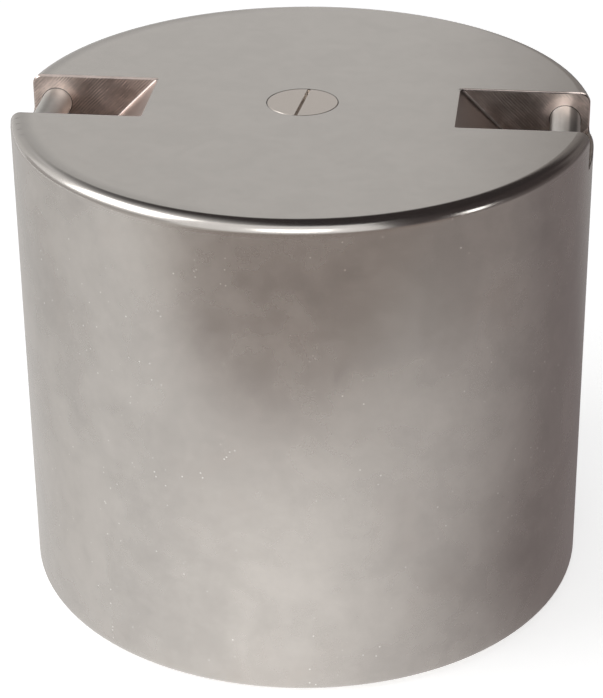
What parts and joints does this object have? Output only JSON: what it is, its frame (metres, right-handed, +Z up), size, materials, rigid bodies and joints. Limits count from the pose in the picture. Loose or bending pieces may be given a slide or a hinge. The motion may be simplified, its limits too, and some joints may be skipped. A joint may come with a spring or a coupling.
{
  "type": "calibration weight",
  "caption": "Cylindrical stainless steel calibration weight with a recessed grip pocket and lifting pin on each side, and a slotted adjusting plug flush in its top.",
  "frame": {"origin": "centre of the standing ring, on the plane it stands on", "axes": "+Z up along the body's axis; the grip pockets face -X and +X; the lifting pins lie along Y and go in from the +Y side"},
  "size_m": [0.21, 0.21, 0.1846],
  "materials": {
    "body_steel": "satin stainless steel, turned and finely blasted, with soft cloudy marks",
    "pin_steel": "ground stainless bar, bright satin",
    "plug_steel": "stainless steel, finely faced, a little lighter than the top",
    "seal_ptfe": "white waxy washer",
    "disc_steel": "turned stainless discs"
  },
  "bodies": {
    "weight": {"body": "body_steel", "lifting_pin_left": "pin_steel", "lifting_pin_right": "pin_steel", "adjusting_discs": "disc_steel"},
    "seal": {"plug_seal": "seal_ptfe"},
    "plug": {"adjusting_plug": "plug_steel"}
  },
  "joints": [
    {"name": "plug_rise", "type": "slide", "parent": "weight", "child": "seal", "axis": [0, 0, 1], "range_m": [0, 0.018]},
    {"name": "plug_turn", "type": "hinge", "parent": "seal", "child": "plug", "pos_m": [0, 0, 0.1796], "axis": [0, 0, 1], "range_deg": [0, 4320]}
  ],
  "couplings": [
    {"joint": "plug_rise", "follows": "plug_turn", "m_per_rad": 0.00023873}
  ]
}
